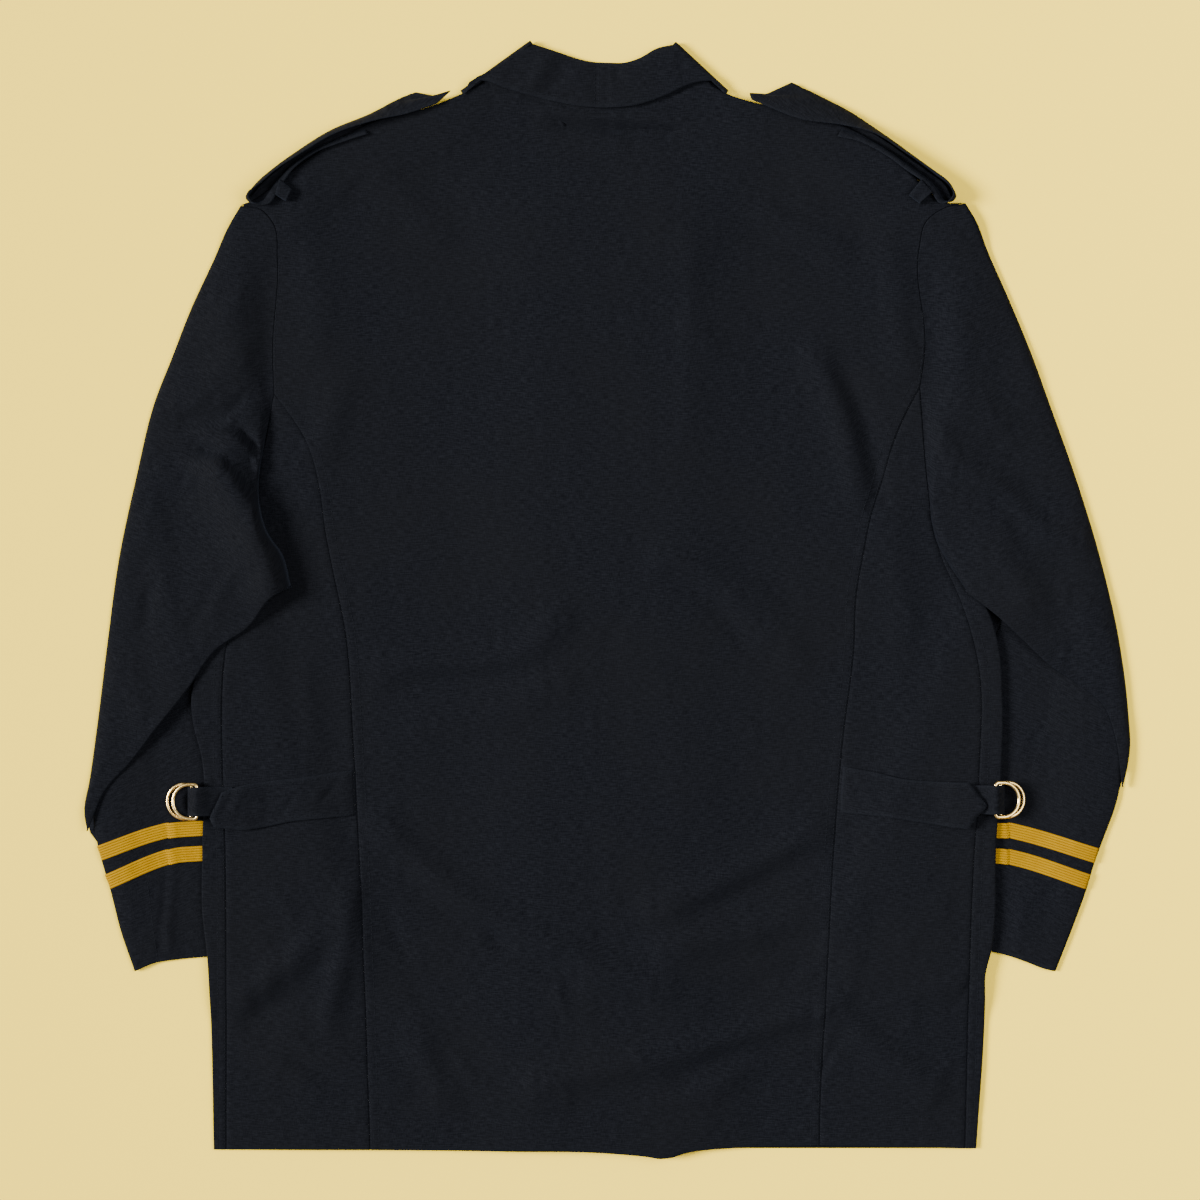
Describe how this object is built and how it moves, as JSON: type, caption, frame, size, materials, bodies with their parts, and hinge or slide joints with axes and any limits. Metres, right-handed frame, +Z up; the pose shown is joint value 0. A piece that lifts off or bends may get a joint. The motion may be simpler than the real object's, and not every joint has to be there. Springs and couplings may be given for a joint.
{
  "type": "naval uniform jacket",
  "caption": "Dark navy twill uniform jacket laid flat with its back up, sleeves bent, with shoulder straps, gold cuff braid and side straps with D-rings.",
  "frame": {"origin": "middle of the bottom of the jacket's bounding box, on the surface that it lies on", "axes": "+X to the wearer's right, +Y towards the collar, +Z up from the surface, out of the jacket's back"},
  "size_m": [0.8549, 0.9151, 0.0196],
  "materials": {
    "navy_twill": "matt twill",
    "gold_braid": "ribbed, soft sheen",
    "brass": "polished",
    "button": "black"
  },
  "bodies": {
    "jacket": {"back_centre": "navy_twill", "collar_fall": "navy_twill", "collar_stand": "navy_twill", "side_back_left": "navy_twill", "front_left": "navy_twill", "sleeve_top_left": "navy_twill", "sleeve_under_left": "navy_twill", "shoulder_strap_left": "navy_twill", "strap_keeper_left": "navy_twill", "waist_strap_left": "navy_twill", "ring_tab_left": "navy_twill", "side_back_right": "navy_twill", "front_right": "navy_twill", "sleeve_top_right": "navy_twill", "sleeve_under_right": "navy_twill", "shoulder_strap_right": "navy_twill", "strap_keeper_right": "navy_twill", "waist_strap_right": "navy_twill", "ring_tab_right": "navy_twill", "cuff_braid_left_1": "gold_braid", "cuff_braid_left_2": "gold_braid", "cuff_braid_right_1": "gold_braid", "cuff_braid_right_2": "gold_braid", "button_1": "button", "button_2": "button", "button_3": "button"},
    "ring_upper_left": {"d_ring_upper_left": "brass"},
    "ring_lower_left": {"d_ring_lower_left": "brass"},
    "ring_upper_right": {"d_ring_upper_right": "brass"},
    "ring_lower_right": {"d_ring_lower_right": "brass"}
  },
  "joints": [
    {"name": "ring_upper_left_hinge", "type": "hinge", "parent": "jacket", "child": "ring_upper_left", "pos_m": [-0.336, -0.1655, 0.0138], "axis": [0, 1, 0], "range_deg": [0, 120]},
    {"name": "ring_lower_left_hinge", "type": "hinge", "parent": "jacket", "child": "ring_lower_left", "pos_m": [-0.341, -0.1655, 0.0088], "axis": [0, 1, 0], "range_deg": [0, 84]},
    {"name": "ring_upper_right_hinge", "type": "hinge", "parent": "jacket", "child": "ring_upper_right", "pos_m": [0.3158, -0.164, 0.0164], "axis": [0, -1, 0], "range_deg": [0, 120]},
    {"name": "ring_lower_right_hinge", "type": "hinge", "parent": "jacket", "child": "ring_lower_right", "pos_m": [0.3203, -0.164, 0.0114], "axis": [0, -1, 0], "range_deg": [0, 84]}
  ],
  "couplings": [
    {"joint": "ring_lower_left_hinge", "follows": "ring_upper_left_hinge", "ratio": 0.7},
    {"joint": "ring_lower_right_hinge", "follows": "ring_upper_right_hinge", "ratio": 0.7}
  ]
}
